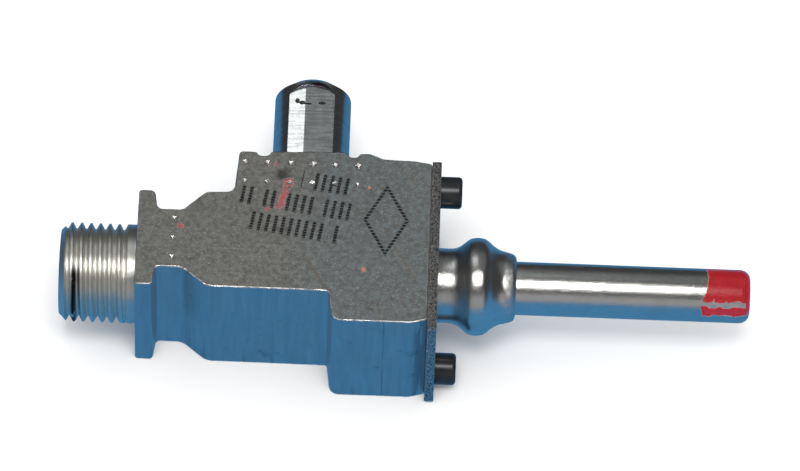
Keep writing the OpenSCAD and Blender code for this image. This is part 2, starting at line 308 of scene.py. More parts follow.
def make_turning_marks():
    tree, given, out = new_group(
        "turning_marks", {"Per mm": 5.0, "Along X": 1.0, "Along Y": 0.0}, ["Height", "Shade"])
    split = put(tree, "SeparateXYZ", {0: scaled(tree, given.outputs[0])})
    x = calc(tree, "MULTIPLY", split.outputs[0], given.outputs[1])
    along = calc(tree, "ADD", x, calc(tree, "MULTIPLY", split.outputs[1], given.outputs[2]))
    fine = put(tree, "TexNoise", {"W": along, "Scale": 1.0, "Detail": 5.0, "Roughness": 0.7},
               noise_dimensions="1D").outputs["Fac"]
    broad = put(tree, "TexNoise", {"W": calc(tree, "MULTIPLY", along, 0.22), "Scale": 1.0,
                                   "Detail": 2.0}, noise_dimensions="1D").outputs["Fac"]
    tree.links.new(fine, out.inputs[0])
    tree.links.new(broad, out.inputs[1])
    return tree


def make_fine_scratches():
    tree, given, out = new_group("fine_scratches", {"Per mm": 1.0, "Amount": 0.5}, ["Mask"])
    place = scaled(tree, given.outputs[0])
    marks = 0.0
    for turn, shift in ((0.35, 0), (1.25, 7), (2.3, 19)):
        mapping = put(tree, "Mapping", {"Vector": place, "Rotation": (turn, turn / 2, turn),
                                        "Location": (shift, shift, shift), "Scale": (0.25, 7, 7)})
        lines = raw_noise(tree, mapping.outputs[0], 3.0, 0.5)
        marks = calc(tree, "MAXIMUM", marks, between(tree, lines, 0.66, 0.74))
    mask = calc(tree, "MULTIPLY", marks, given.outputs[1])
    tree.links.new(mask, out.inputs[0])
    return tree


def make_stains():
    tree, given, out = new_group("stains", {"Per mm": 0.25, "Cut": 0.55}, ["Mask", "Cloud"])
    place = scaled(tree, given.outputs[0])
    cloud = raw_noise(tree, place, 5.0, 0.6)
    ragged = raw_noise(tree, put(tree, "VectorMath", {0: place, 1: (5, 9, 3)},
                                 operation="ADD").outputs[0], 8.0, 0.7)
    mask = between(tree, ragged, given.outputs[1], calc(tree, "ADD", given.outputs[1], 0.14))
    tree.links.new(mask, out.inputs[0])
    tree.links.new(cloud, out.inputs[1])
    return tree


def make_worn_edge():
    tree, given, out = new_group("worn_edge", {"Radius": 0.0001, "Break": 0.5}, ["Mask"])
    rounded = put(tree, "Bevel", {"Radius": given.outputs[0]}, samples=6)
    true = put(tree, "NewGeometry").outputs["Normal"]
    agree = put(tree, "VectorMath", {0: rounded.outputs[0], 1: true},
                operation="DOT_PRODUCT").outputs["Value"]
    edge = between(tree, calc(tree, "SUBTRACT", 1.0, agree), 0.01, 0.12)
    broken = raw_noise(tree, scaled(tree, 1.6), 4.0, 0.6)
    keep = between(tree, broken, given.outputs[1], calc(tree, "ADD", given.outputs[1], 0.1))
    tree.links.new(calc(tree, "MULTIPLY", edge, keep), out.inputs[0])
    return tree


GROUPS = {}
for make in (make_fine_grain, make_turning_marks, make_fine_scratches, make_stains,
             make_worn_edge):
    group = make()
    GROUPS[group.name] = group
print("effects:", ", ".join(GROUPS))


# %% Finish helpers
def effect(tree, name, **values):
    """One of the groups above with its own values. Sockets are named with underscores."""
    node = tree.nodes.new("ShaderNodeGroup")
    node.node_tree = GROUPS[name]
    for key, value in values.items():
        socket = node.inputs[key.replace("_", " ")]
        if isinstance(value, bpy.types.NodeSocket):
            tree.links.new(value, socket)
        else:
            socket.default_value = value
    return node.outputs


def new_finish(name, **constants):
    """A material with one Principled shader, whose constant sockets are set here."""
    material = bpy.data.materials.new(name)
    material.use_nodes = True
    tree = material.node_tree
    shader = tree.nodes["Principled BSDF"]
    for key, value in constants.items():
        shader.inputs[key.replace("_", " ")].default_value = value
    return material, tree, shader


def feed(tree, shader, **sockets):
    for key, value in sockets.items():
        tree.links.new(value, shader.inputs[key.replace("_", " ")])


def emboss(tree, height, distance, strength=1.0, under=None):
    """A bump of this real depth in millimetres, on top of another one."""
    node = put(tree, "Bump", {"Height": height, "Distance": distance * MM, "Strength": strength})
    if under is not None:
        tree.links.new(under, node.inputs["Normal"])
    return node.outputs[0]


# %% [markdown]
# ## Aluminium, five ways
#
# The body shows the same alloy with five finishes. The two sawn faces are frosty
# and dull, with stains and an ink jet code. The extruded skin between them is
# smoother and mirrors its surroundings softly. Where the saw left the metal it
# tore a bright burr. The outlet and the spigot were turned, with fine rings, and
# the bores get darker base colours, painted shade, because they are seldom lit.

# %% Extruded skin, burr, turned aluminium and bores with painted shade
ALUMINIUM = colour(0.80, 0.80, 0.79)


def make_skin():
    material, tree, shader = new_finish("extruded_skin", Metallic=1.0)
    place = object_place(tree)
    stain = effect(tree, "stains", Per_mm=0.3, Cut=0.57)
    drawn = noise(tree, place, 1.2, 5, 0.6, stretch=(1, 1, 0.12))
    grain = effect(tree, "fine_grain", Per_mm=5.0, Cut=0.62)
    base = blend_colour(tree, drawn, colour(0.50, 0.50, 0.50), colour(0.84, 0.84, 0.84))
    base = blend_colour(tree, calc(tree, "MULTIPLY", stain[0], 0.5), base,
                        colour(0.26, 0.25, 0.26))
    x = put(tree, "SeparateXYZ", {0: scaled(tree, 1.0)}).outputs[0]
    rubbed = calc(tree, "MAXIMUM", inside(tree, x, 9.0, 0.06), inside(tree, x, 12.9, 0.5, 0.4))
    rubbed = calc(tree, "MULTIPLY", rubbed, between(tree, drawn, 0.42, 0.55))
    base = blend_colour(tree, calc(tree, "MULTIPLY", rubbed, 0.6), base,
                        colour(0.20, 0.20, 0.21))
    rough = blend_value(tree, stain[1], 0.22, 0.42)
    bump = emboss(tree, grain[0], 0.012, 0.5, emboss(tree, drawn, 0.03, 0.5))
    feed(tree, shader, Base_Color=base, Roughness=rough, Normal=bump)
    return material


def make_burr():
    material, tree, shader = new_finish("bright_burr", Metallic=1.0)
    place = object_place(tree)
    torn = noise(tree, place, 2.2, 5, 0.7)
    grain = effect(tree, "fine_grain", Per_mm=7.0, Cut=0.6)
    base = blend_colour(tree, torn, colour(0.72, 0.68, 0.67), colour(1.0, 0.97, 0.95))
    rough = blend_value(tree, grain[0], 0.12, 0.5)
    bump = emboss(tree, torn, 0.12, 0.8, emboss(tree, grain[0], 0.03, 0.6))
    feed(tree, shader, Base_Color=base, Roughness=rough, Normal=bump)
    return material


def make_turned(name, along_x, along_y, light, dark, smooth=0.16, dull=0.34, ring=0.012,
                oil=None):
    """Lathe-turned metal. Oil is the place and half width of a dark run down the front."""
    material, tree, shader = new_finish(name, Metallic=1.0)
    marks = effect(tree, "turning_marks", Per_mm=6.0, Along_X=along_x, Along_Y=along_y)
    grain = effect(tree, "fine_grain", Per_mm=6.0, Cut=0.6)
    stain = effect(tree, "stains", Per_mm=0.5, Cut=0.6)
    base = blend_colour(tree, marks[1], dark, light)
    base = blend_colour(tree, calc(tree, "MULTIPLY", stain[0], 0.35), base,
                        colour(0.28, 0.25, 0.22))
    if oil:
        split = put(tree, "SeparateXYZ", {0: scaled(tree, 1.0)})
        run = calc(tree, "MULTIPLY", inside(tree, split.outputs[0], *oil, soft=0.15),
                   between(tree, split.outputs[1], -1.6, -3.2))
        run = calc(tree, "MULTIPLY", run, between(tree, stain[1], 0.36, 0.46))
        base = blend_colour(tree, run, base, colour(0.015, 0.014, 0.013))
    rough = blend_value(tree, marks[0], smooth, dull)
    bump = emboss(tree, marks[0], ring, 0.7, emboss(tree, grain[0], ring / 2, 0.5))
    feed(tree, shader, Base_Color=base, Roughness=rough, Normal=bump)
    return material


def make_milled():
    """The spigot's flat: curved cutter lines, dents darkened with painted shade, and dark scratches on one
    side.
    """
    material, tree, shader = new_finish("milled_flat", Metallic=1.0)
    place = object_place(tree)
    swirl = noise(tree, place, 1.0, 4, 0.6, stretch=(1, 0.5, 1), turn=(0, 0, 0.5))
    lines = noise(tree, place, 2.0, 3, 0.6, stretch=(0.25, 2.2, 1), turn=(0, 0, 0.3))
    dent = effect(tree, "stains", Per_mm=0.8, Cut=0.60)
    base = blend_colour(tree, between(tree, lines, 0.3, 0.65), colour(0.60, 0.61, 0.63),
                        colour(0.95, 0.95, 0.95))
    # Painted shade: random dark patches stand for the shade in small dents
    base = blend_colour(tree, calc(tree, "MULTIPLY", dent[0], 0.7), base,
                        colour(0.12, 0.13, 0.15))
    split = put(tree, "SeparateXYZ", {0: scaled(tree, 1.0)})
    x, y = split.outputs[0], split.outputs[1]
    across = calc(tree, "MULTIPLY", inside(tree, y, 20.6, 0.04, 0.04), 0.5)
    base = blend_colour(tree, across, base, colour(0.10, 0.10, 0.11))
    touch = calc(tree, "MULTIPLY", inside(tree, x, 0.9, 0.7, 0.3), between(tree, y, 23.9, 24.2))
    touch = calc(tree, "MULTIPLY", touch, between(tree, swirl, 0.42, 0.5))
    base = blend_colour(tree, touch, base, colour(0.40, 0.01, 0.03))
    # The wall at the end of the flat gets a painted dark blue reflection and more roughness, the flat
    # itself is bare
    step = calc(tree, "SUBTRACT", split.outputs[2], axis_z / MM)
    step = between(tree, step, 3.58, 3.64)
    base = blend_colour(tree, calc(tree, "MULTIPLY", step, 0.95), base, colour(0.035, 0.05, 0.08))
    rough = calc(tree, "ADD", blend_value(tree, swirl, 0.12, 0.26),
                 calc(tree, "MULTIPLY", step, 0.35))
    bump = emboss(tree, swirl, 0.016, 0.6, emboss(tree, lines, 0.006, 0.6))
    feed(tree, shader, Base_Color=base, Roughness=rough, Normal=bump)
    return material


skin = make_skin()
burr = make_burr()
milled = make_milled()
turned_outlet = make_turned("turned_outlet", 1.0, 0.0, colour(1.0, 0.98, 0.94),
                            colour(0.74, 0.73, 0.68), smooth=0.28, dull=0.46, ring=0.03,
                            oil=(-25.8, 0.26))
turned_spigot = make_turned("turned_spigot", 0.0, 1.0, ALUMINIUM, colour(0.52, 0.52, 0.52))
# The bores get darker base colours than the turned faces: painted shade, since little light reaches inside
# them
bored_painted_shade = make_turned("bored_painted_shade", 1.0, 1.0, colour(0.5, 0.5, 0.48), colour(0.3, 0.3, 0.29))
print("finishes:", ", ".join(m.name for m in bpy.data.materials if m.users == 0))

# %% [markdown]
# ## The sawn face
#
# The front sawn face carries most of what the eye reads: frosty mottled metal,
# thin brown streaks, a red crayon rub with a dark thumb mark, specks of rust, and
# an ink jet code. The code is generic here. It is three rows of plain strokes and
# a dotted diamond, drawn by masks in a frame that is turned to the rows.

# %% Sawn aluminium
PRINT_TURN = math.radians(-9)
INK_ROWS = [[0.63, 8.23, 5.4], [-2.35, 4.97, 12.8], [-1.72, 1.73, 10.6]]
INK_HEIGHT = 2.4
STROKE_PITCH = 0.86
DIAMOND = [8.83, 3.35, 2.35, 4.4]
RED_RUB = [[-2.1, 8.2], [-3.25, 4.7]]
DARK_SMUDGE = [-3.0, 8.95, 1.1]
RED_SPOTS = [[-4.6, 10.4, 0.35], [-3.7, 10.4, 0.4], [-14.1, 1.6, 0.45], [-2.3, 8.0, 0.5],
             [-4.5, 4.3, 0.4]]
RUST_SPOTS = [[6.48, -3.3, 0.42], [6.74, 7.7, 0.28]]
BROWN_LINES = [[[0.1, -2.1], [2.7, -6.6], 0.22], [[9.9, -0.3], [12.3, -4.2], 0.18]]


def flat_place(tree):
    """X and Y in millimetres, a little shaken so that drawn shapes get ragged edges."""
    split = put(tree, "SeparateXYZ", {0: scaled(tree, 1.0)})
    shake = noise(tree, object_place(tree), 1.5, 4, 0.7)
    shake = calc(tree, "MULTIPLY", calc(tree, "SUBTRACT", shake, 0.5), 0.9)
    return (split.outputs[0], split.outputs[1],
            calc(tree, "ADD", split.outputs[0], shake), calc(tree, "SUBTRACT", split.outputs[1], shake))


def distance_to(tree, x, y, spot):
    dx = calc(tree, "SUBTRACT", x, spot[0])
    dy = calc(tree, "SUBTRACT", y, spot[1])
    return calc(tree, "SQRT", calc(tree, "ADD", calc(tree, "MULTIPLY", dx, dx),
                                   calc(tree, "MULTIPLY", dy, dy)))


def spots(tree, x, y, rows, soft):
    mask = 0.0
    for spot in rows:
        away = distance_to(tree, x, y, spot)
        here = calc(tree, "SUBTRACT", 1.0, between(tree, away, spot[2] * (1 - soft), spot[2]))
        mask = calc(tree, "MAXIMUM", mask, here)
    return mask


def streak(tree, x, y, start, end, width):
    """Mask of a straight rub between two places."""
    run = [end[0] - start[0], end[1] - start[1]]
    length = math.hypot(*run)
    along = calc(tree, "ADD", calc(tree, "MULTIPLY", calc(tree, "SUBTRACT", x, start[0]), run[0] / length),
                 calc(tree, "MULTIPLY", calc(tree, "SUBTRACT", y, start[1]), run[1] / length))
    across = calc(tree, "SUBTRACT",
                  calc(tree, "MULTIPLY", calc(tree, "SUBTRACT", x, start[0]), run[1] / length),
                  calc(tree, "MULTIPLY", calc(tree, "SUBTRACT", y, start[1]), run[0] / length))
    side = calc(tree, "SUBTRACT", 1.0, between(
        tree, calc(tree, "ABSOLUTE", across), width * 0.5, width))
    ends = calc(tree, "MULTIPLY", between(tree, along, -width, 0.0),
                calc(tree, "SUBTRACT", 1.0, between(tree, along, length, length + width)))
    return calc(tree, "MULTIPLY", side, ends)


def ink_strokes(tree, x, y):
    """Rows of short strokes, some left out, each made of ink jet dots."""
    c, s = math.cos(PRINT_TURN), math.sin(PRINT_TURN)
    along = calc(tree, "ADD", calc(tree, "MULTIPLY", x, c), calc(tree, "MULTIPLY", y, s))
    across = calc(tree, "SUBTRACT", calc(tree, "MULTIPLY", y, c), calc(tree, "MULTIPLY", x, s))
    rows = 0.0
    for middle, height, length in INK_ROWS:
        row = calc(tree, "MULTIPLY", inside(tree, along, middle, length / 2),
                   inside(tree, across, height, INK_HEIGHT / 2, 0.12))
        rows = calc(tree, "MAXIMUM", rows, row)
    cell = calc(tree, "DIVIDE", along, STROKE_PITCH)
    line = calc(tree, "FLOOR", calc(tree, "DIVIDE", across, 3.24))
    left = calc(tree, "FRACT", cell)
    stroke = inside(tree, left, 0.5, 0.23, 0.08)
    chance = put(tree, "TexWhiteNoise", {"Vector": put(tree, "CombineXYZ", {
        0: calc(tree, "FLOOR", cell), 1: line}).outputs[0]}, noise_dimensions="2D").outputs["Value"]
    kept = between(tree, chance, 0.22, 0.24)
    dots = inside(tree, calc(tree, "FRACT", calc(tree, "DIVIDE", across, 0.36)), 0.5, 0.44, 0.14)
    return calc(tree, "MULTIPLY", calc(tree, "MULTIPLY", rows, stroke),
                calc(tree, "MULTIPLY", kept, dots))


def ink_diamond(tree, x, y):
    cx, cy, half_w, half_h = DIAMOND
    reach = calc(tree, "ADD",
                 calc(tree, "DIVIDE", calc(tree, "ABSOLUTE", calc(tree, "SUBTRACT", x, cx)), half_w),
                 calc(tree, "DIVIDE", calc(tree, "ABSOLUTE", calc(tree, "SUBTRACT", y, cy)), half_h))
    line = inside(tree, reach, 1.0, 0.09, 0.04)
    dots = inside(tree, calc(tree, "FRACT", calc(tree, "DIVIDE", y, 0.42)), 0.5, 0.38, 0.14)
    return calc(tree, "MULTIPLY", line, dots)


def make_sawn():
    material, tree, shader = new_finish("sawn_aluminium", Metallic=0.85)
    x, y, rough_x, rough_y = flat_place(tree)
    place = object_place(tree)
    grain = effect(tree, "fine_grain", Per_mm=3.2, Cut=0.60)
    stain = effect(tree, "stains", Per_mm=0.22, Cut=0.56)
    rub = effect(tree, "fine_scratches", Per_mm=0.45, Amount=0.7)
    blotch = noise(tree, place, 1.6, 6, 0.7)
    # Painted reflection: the right half of the sawn faces is tinted blue, standing for the blue table
    # mirrored there
    blue_reflection_share = between(tree, calc(tree, "ADD", x, calc(tree, "MULTIPLY", stain[1], 8.0)), 0.0, 8.0)
    light = blend_colour(tree, blue_reflection_share, colour(0.37, 0.365, 0.335), colour(0.31, 0.36, 0.375))
    base = blend_colour(tree, between(tree, blotch, 0.3, 0.7), colour(0.21, 0.21, 0.20), light)
    base = blend_colour(tree, calc(tree, "MULTIPLY", stain[0], 0.35), base,
                        colour(0.13, 0.125, 0.12))
    base = blend_colour(tree, calc(tree, "MULTIPLY", grain[1], 0.4), base,
                        colour(0.80, 0.78, 0.75))
    base = blend_colour(tree, calc(tree, "MULTIPLY", rub[0], 0.3), base,
                        colour(0.55, 0.55, 0.55))
    brown = noise(tree, place, 0.35, 3, 0.5, stretch=(3.2, 0.35, 1), turn=(0, 0, 0.5))
    brown = calc(tree, "MULTIPLY", between(tree, brown, 0.64, 0.72), between(tree, x, 0.0, 5.0))
    for start, end, width in BROWN_LINES:
        drip = calc(tree, "MULTIPLY", streak(tree, x, y, start, end, width),
                    between(tree, blotch, 0.36, 0.5))
        brown = calc(tree, "MAXIMUM", brown, drip)
    base = blend_colour(tree, calc(tree, "MULTIPLY", brown, 0.4), base,
                        colour(0.30, 0.20, 0.11))
    # Smudge, then the ink, then the red crayon over both, as they were laid down
    smudge = calc(tree, "SUBTRACT", 1.0, between(
        tree, distance_to(tree, rough_x, rough_y, DARK_SMUDGE), 0.2, DARK_SMUDGE[2]))
    base = blend_colour(tree, calc(tree, "MULTIPLY", smudge, 0.75), base,
                        colour(0.045, 0.035, 0.035))
    ink = calc(tree, "MAXIMUM", ink_strokes(tree, x, y), ink_diamond(tree, x, y))
    ink = calc(tree, "MULTIPLY", ink, blend_value(tree, grain[0], 1.15, 0.6), clamp=True)
    base = blend_colour(tree, ink, base, colour(0.006, 0.006, 0.012))
    red = calc(tree, "MAXIMUM", streak(tree, rough_x, rough_y, *RED_RUB, 0.55),
               spots(tree, rough_x, rough_y, RED_SPOTS, 0.6))
    red = calc(tree, "MULTIPLY", red, between(tree, blotch, 0.36, 0.52))
    base = blend_colour(tree, calc(tree, "MULTIPLY", red, 0.85), base, colour(0.30, 0.006, 0.016))
    rust = spots(tree, rough_x, rough_y, RUST_SPOTS, 0.7)
    base = blend_colour(tree, calc(tree, "MULTIPLY", rust, 0.8), base, colour(0.45, 0.10, 0.02))
    marked = calc(tree, "MAXIMUM", red, rust)
    metal = calc(tree, "MULTIPLY", calc(tree, "SUBTRACT", 1.0, marked), 0.85)
    rough = blend_value(tree, blotch, 0.34, 0.58)
    saw = noise(tree, place, 1.6, 3, 0.6, stretch=(0.08, 1, 1), turn=(0, 0, 0.08))
    bump = emboss(tree, grain[0], 0.05, 0.8, emboss(tree, saw, 0.02, 0.4))
    feed(tree, shader, Base_Color=base, Metallic=metal, Roughness=rough, Normal=bump)
    return material


sawn = make_sawn()
print("sawn face:", len(sawn.node_tree.nodes), "nodes")

# %% [markdown]
# ## The body, sawn from an extrusion
#
# Seen from the front, the body is one outline with the same depth all over, since
# it was pushed through a die and sawn off. So a filled circle gets one vertex for
# each place on that outline and is extruded by the depth. The corners are given
# as rows of place and radius, and are rounded here. Long sides are divided too,
# because the burr along the sawn edge is made of many small, uneven steps.

# %% Front outline
flange_x = -18.9
flange_half = 6.3
neck_half = 3.85
top_y = 11.6
drop_y = -10.1
cover_x = body_high.x / MM
stub_tip = body_low.x / MM
spigot_top = body_high.y / MM
BODY_ROWS = [
    [flange_x, flange_half, 0.35], [-17.1, flange_half, 0.7], [-16.75, neck_half, 0.7],
    [-13.9, neck_half, 0.8], [-11.4, 6.35, 0.9], [-8.3, 6.5, 0.9],
    [-7.9, top_y + 0.4, 0.45], [-6.0, top_y + 0.4, 0.35], [-5.7, top_y - 0.1, 0.35],
    [-4.7, top_y - 0.1, 0.35], [-4.3, top_y + 0.5, 0.35], [4.1, top_y + 0.75, 0.35],
    [4.5, top_y + 0.1, 0.35], [5.3, top_y + 0.1, 0.35], [5.7, top_y + 0.65, 0.35],
    [6.8, top_y + 0.65, 0.6], [8.3, top_y, 0.8], [cover_x - 2, top_y - 0.1, 0.6],
    [cover_x, top_y - 0.4, 0.35], [cover_x, drop_y + 0.5, 0.35],
    [cover_x - 1.8, drop_y, 1.2], [3.2, drop_y, 1.1], [2.7, -6.3, 0.35],
    [-10.9, -6.25, 1.9], [-13.7, -neck_half, 1.9], [-16.6, -neck_half, 0.5],
    [-16.95, -flange_half, 0.4], [flange_x, -flange_half, 0.35]]
STEP_ALONG = 0.4


def rounded_outline(rows, step=0.22):
    """Places on the outline, in millimetres, with its corners rounded."""
    places = []
    for k, (x, y, radius) in enumerate(rows):
        here = Vector((x, y))
        back = (Vector(rows[k - 1][:2]) - here).normalized()
        ahead = (Vector(rows[(k + 1) % len(rows)][:2]) - here).normalized()
        half = back.angle(ahead) / 2
        centre = here + (back + ahead).normalized() * radius / math.sin(half)
        start = here + back * radius / math.tan(half) - centre
        turn = math.pi - 2 * half
        if back.x * ahead.y - back.y * ahead.x > 0:
            turn = -turn
        count = max(2, math.ceil(abs(turn) * radius / step))
        for i in range(count + 1):
            places.append(centre + Matrix.Rotation(turn * i / count, 2) @ start)
    return places


def divided(places, step):
    """The same outline with no side longer than the step."""
    dense = []
    for a, b in zip(places, places[1:] + places[:1]):
        count = max(1, math.ceil((b - a).length / step))
        dense += [a.lerp(b, i / count) for i in range(count)]
    return dense


front = divided(rounded_outline(BODY_ROWS), STEP_ALONG)
deselect()
bpy.ops.mesh.primitive_circle_add(vertices=len(front), radius=MM, fill_type="NGON")
body = new_piece("body")
for vertex, place in zip(body.data.vertices, front):
    vertex.co = (place.x * MM, place.y * MM, 0)
edit(body)
bpy.ops.mesh.extrude_region_move(TRANSFORM_OT_translate={"value": (0, 0, depth)})
tidy_mesh(body)
report(body)

# %% [markdown]
# ## Gripper marks
#
# A clamp with sharp points held the sawn face, and left small pits a tenth of an
# inch apart. Their walls catch the light. Each pit is cut by a small cone with few
# sides, turned and sized a little differently. They are cut while the body is still
# a plain extrusion, because a cut through a shaken rim is hard on the solver.

# %% Pits
random.seed(11)
GRID = 2.54
for material in (sawn, skin, burr, turned_outlet, turned_spigot, bored_painted_shade, milled):
    body.data.materials.append(material)
pit_places = [[-7.2 + i * GRID, 10.5 - j * GRID] for i in range(6) for j in range(2)]
pit_places += [[-14.85, 2.5 - j * GRID] for j in range(3)]
pits = []
for x, y in pit_places:
    small = 0.8 if x < -10 or y < 9 else 1.0
    radius = random.uniform(0.46, 0.56) * small
    deselect()
    bpy.ops.mesh.primitive_cone_add(
        vertices=5, radius1=0, radius2=radius * MM, depth=0.45 * radius * MM,
        rotation=(0, 0, random.uniform(0, math.tau)),
        location=(x * MM, y * MM, depth - 0.19 * radius * MM))
    pit = new_piece("pit")
    edit(pit)
    bpy.ops.transform.vertex_random(offset=0.04 * MM, seed=random.randrange(99))
    deselect()
    pit.data.materials.append(burr)
    pits.append(pit)
activate(pits[0])
for pit in pits[1:]:
    pit.select_set(True)
bpy.ops.object.join()
cut_to_triangles(pits[0])
combine(body, pits[0], "DIFFERENCE")
report(body)

# %% [markdown]
# ## Sawn edges
#
# A saw leaves the edge of soft aluminium torn. Both rims get a narrow bevel, its
# faces get the bright burr finish, and then their vertices are shaken a little,
# which breaks the line of light along the edge as on the real part.

# %% Burr along both rims
BURR_WIDTH = 0.15


def on_rim(edge):
    tilts = sorted(abs(face.normal.z) for face in edge.link_faces)
    return tilts[0] < 0.01 and tilts[-1] > 0.99


edit(body, "EDGE", on_rim)
bpy.ops.mesh.bevel(offset=BURR_WIDTH * MM, segments=3, affect="EDGES")
deselect()
for face in body.data.polygons:
    tilt = abs(face.normal.z)
    face.material_index = 0 if tilt > 0.99 else 1 if tilt < 0.05 else 2
sawn_height = {v.index: v.co.z for v in body.data.vertices
               if min(abs(v.co.z), abs(v.co.z - depth)) < MM / 1000}
edit(body, "FACE", lambda f: f.material_index == 2)
bpy.ops.transform.vertex_random(offset=0.025 * MM, seed=4)
deselect()
for index, height in sawn_height.items():
    body.data.vertices[index].co.z = height
cut_to_triangles(body)
report(body)

# %% [markdown]
# ## Outlet, spigot, and the bores
#
# The outlet stub and the spigot are turned shapes that are joined to the body.
# An end mill cut the spigot's flat, so it stops in a half round: the cutter is a
# cylinder whose near half is pulled out into a slot. A second pass, a little tilted,
# leaves the narrow facet beside it, and knocks left a few dents. The bores are turned
# shapes with all their steps.

# %% Join the turned ends
stub_r = 5.55625
stub = turned("stub", [[stub_tip, 0], [stub_tip, stub_r - 0.85], [stub_tip + 0.85, stub_r],
                       [flange_x + 0.5, stub_r], [flange_x + 0.5, 0]], steps=128)
stub.data.materials.append(turned_outlet)
spigot_r = 4.33
spigot_flat = 3.56
spigot = turned("spigot", [[8.6, 0], [8.6, spigot_r], [spigot_top - 1.2, spigot_r],
                           [spigot_top, 2.95], [spigot_top, 0]], "Y", steps=128)
spigot.data.materials.append(turned_spigot)
spigot.data.materials.append(milled)
MILL_R = 3.15
MILL_END = spigot_top - 1.23
FACET_TILT = math.radians(4.5)
facet_edge = Vector((-0.85, MILL_END - MILL_R, axis_z / MM + spigot_flat))
for tilt, extra in ((0, 0), (-FACET_TILT, 0.12)):
    turn = Matrix.Rotation(tilt, 3, "Y")
    deselect()
    bpy.ops.mesh.primitive_cylinder_add(
        vertices=64, radius=(MILL_R + extra) * MM, depth=2 * MM, rotation=(0, tilt, 0),
        location=(facet_edge + turn @ Vector((0.85, 0, 1))) * MM)
    mill = new_piece("end_mill")
    mill.data.materials.append(milled)
    activate(mill)
    bpy.ops.object.transform_apply(location=True, rotation=True, scale=True)
    edit(mill, "FACE", lambda f: f.normal.y < -0.02)
    bpy.ops.transform.translate(value=(0, -14 * MM, 0))
    deselect()
    combine(spigot, mill, "DIFFERENCE")
# The dents are cut with the bores' darker finish, which paints shade into them
for x, y, long, wide in ((-1.75, 22.0, 0.32, 0.44), (-1.2, 21.75, 0.42, 0.34),
                         (-0.6, 21.6, 0.6, 0.14), (1.05, 21.75, 0.5, 0.26)):
    deselect()
    bpy.ops.mesh.primitive_ico_sphere_add(
        subdivisions=1, radius=MM, scale=(long, wide, 0.4),
        location=(x * MM, y * MM, axis_z + (spigot_flat + 0.02) * MM))
    dent = new_piece("dent")
    dent.data.materials.append(bored_painted_shade)
    combine(spigot, dent, "DIFFERENCE")
combine(body, stub, "UNION")
combine(body, spigot, "UNION")
report(body)

# %% Cut the bores
socket_r = 3.2
outlet_bore = [[stub_tip - 1, 0], [stub_tip - 1, socket_r + 1.47], [stub_tip + 1.2, socket_r],
               [stub_tip + 5.5, socket_r], [stub_tip + 5.5, 2.4], [-8.5, 2.4], [-8.5, 3.66],
               [4.7, 5.06], [4.7, 5.4], [9.2, 5.4], [9.2, 6.6], [cover_x + 1, 6.6],
               [cover_x + 1, 0]]
inlet_bore = [[0.5, 0], [0.5, 2.2], [spigot_top - 0.3, 2.2], [spigot_top + 0.3, 2.8],
              [spigot_top + 0.3, 0]]
# The bores and the screw holes get the darker finish, painted shade
for name, outline, axis in (("main_bore", outlet_bore, "X"), ("inlet_bore", inlet_bore, "Y")):
    tool = turned(name, outline, axis)
    tool.data.materials.append(bored_painted_shade)
    combine(body, tool, "DIFFERENCE")
screw_places = []
for node in ("cover_screw_upper", "cover_screw_lower"):
    middle = (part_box(node)[0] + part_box(node)[1]) / 2
    screw_places.append([middle.y / MM, (middle.z - axis_z) / MM])
for y, z in screw_places:
    deselect()
    bpy.ops.mesh.primitive_cylinder_add(
        vertices=32, radius=1.09 * MM, depth=9 * MM, rotation=(0, math.pi / 2, 0),
        location=((cover_x - 3.5) * MM, y * MM, axis_z + z * MM))
    tool = new_piece("screw_hole")
    tool.data.materials.append(bored_painted_shade)
    combine(body, tool, "DIFFERENCE")
report(body)

# %% [markdown]
# ## The outlet thread
#
# A compression nut runs on this thread, so its crests are sharp and evenly spaced
# and it starts as a cut at the chamfered end. One V-shaped outline is swept along
# a helix by the Screw modifier, its ends are closed, and the body is cut with it.
# The last part of the sweep rises out of the metal, as the cutter did.

# %% Cut the thread
PITCH = 1.058
THREAD_DEPTH = 0.66
THREAD_START = -27.75
THREAD_TURNS = 7.4
STEPS_PER_TURN = 64
VEE = [[-0.47, 0.25], [0.47, 0.25], [0.42, 0.0], [0.07, -THREAD_DEPTH], [-0.07, -THREAD_DEPTH],
       [-0.42, 0.0]]
deselect()
bpy.ops.mesh.primitive_circle_add(vertices=len(VEE), radius=MM, location=(0, 0, axis_z))
cutter = new_piece("thread_cutter")
for vertex, (along, out) in zip(cutter.data.vertices, VEE):
    vertex.co = ((THREAD_START + along) * MM, 0, (stub_r + out) * MM)
activate(cutter)
bpy.ops.object.modifier_add(type="SCREW")
sweep = cutter.modifiers[-1]
sweep.axis = "X"
sweep.angle = math.tau * THREAD_TURNS
sweep.screw_offset = PITCH * THREAD_TURNS * MM
sweep.steps = sweep.render_steps = round(STEPS_PER_TURN * THREAD_TURNS)
sweep.use_normal_calculate = False
bpy.ops.object.modifier_apply(modifier=sweep.name)
fade = STEPS_PER_TURN // 3
rings = len(cutter.data.vertices) // len(VEE)
for ring in range(rings - fade, rings):
    lift = 0.7 * (ring - rings + fade) / fade * MM
    for vertex in cutter.data.vertices[ring * len(VEE):(ring + 1) * len(VEE)]:
        out = Vector((0, vertex.co.y, vertex.co.z))
        vertex.co += out.normalized() * lift
edit(cutter, "EDGE")
bpy.ops.mesh.fill_holes(sides=len(VEE))
tidy_mesh(cutter)
activate(cutter)
bpy.ops.object.transform_apply(location=True, rotation=True, scale=True)
cutter.data.materials.append(turned_outlet)
cut_to_triangles(cutter)
report(cutter)
combine(body, cutter, "DIFFERENCE")
report(body)
tidy_mesh(body)


def leaves_sawn_face(edge):
    flat = [abs(face.normal.z) > 0.9999 for face in edge.link_faces]
    return any(flat) and not all(flat)


edit(body, "EDGE", leaves_sawn_face)
bpy.ops.mesh.mark_sharp()
finish_piece(body, "root", ["valve_body"], smooth=28)

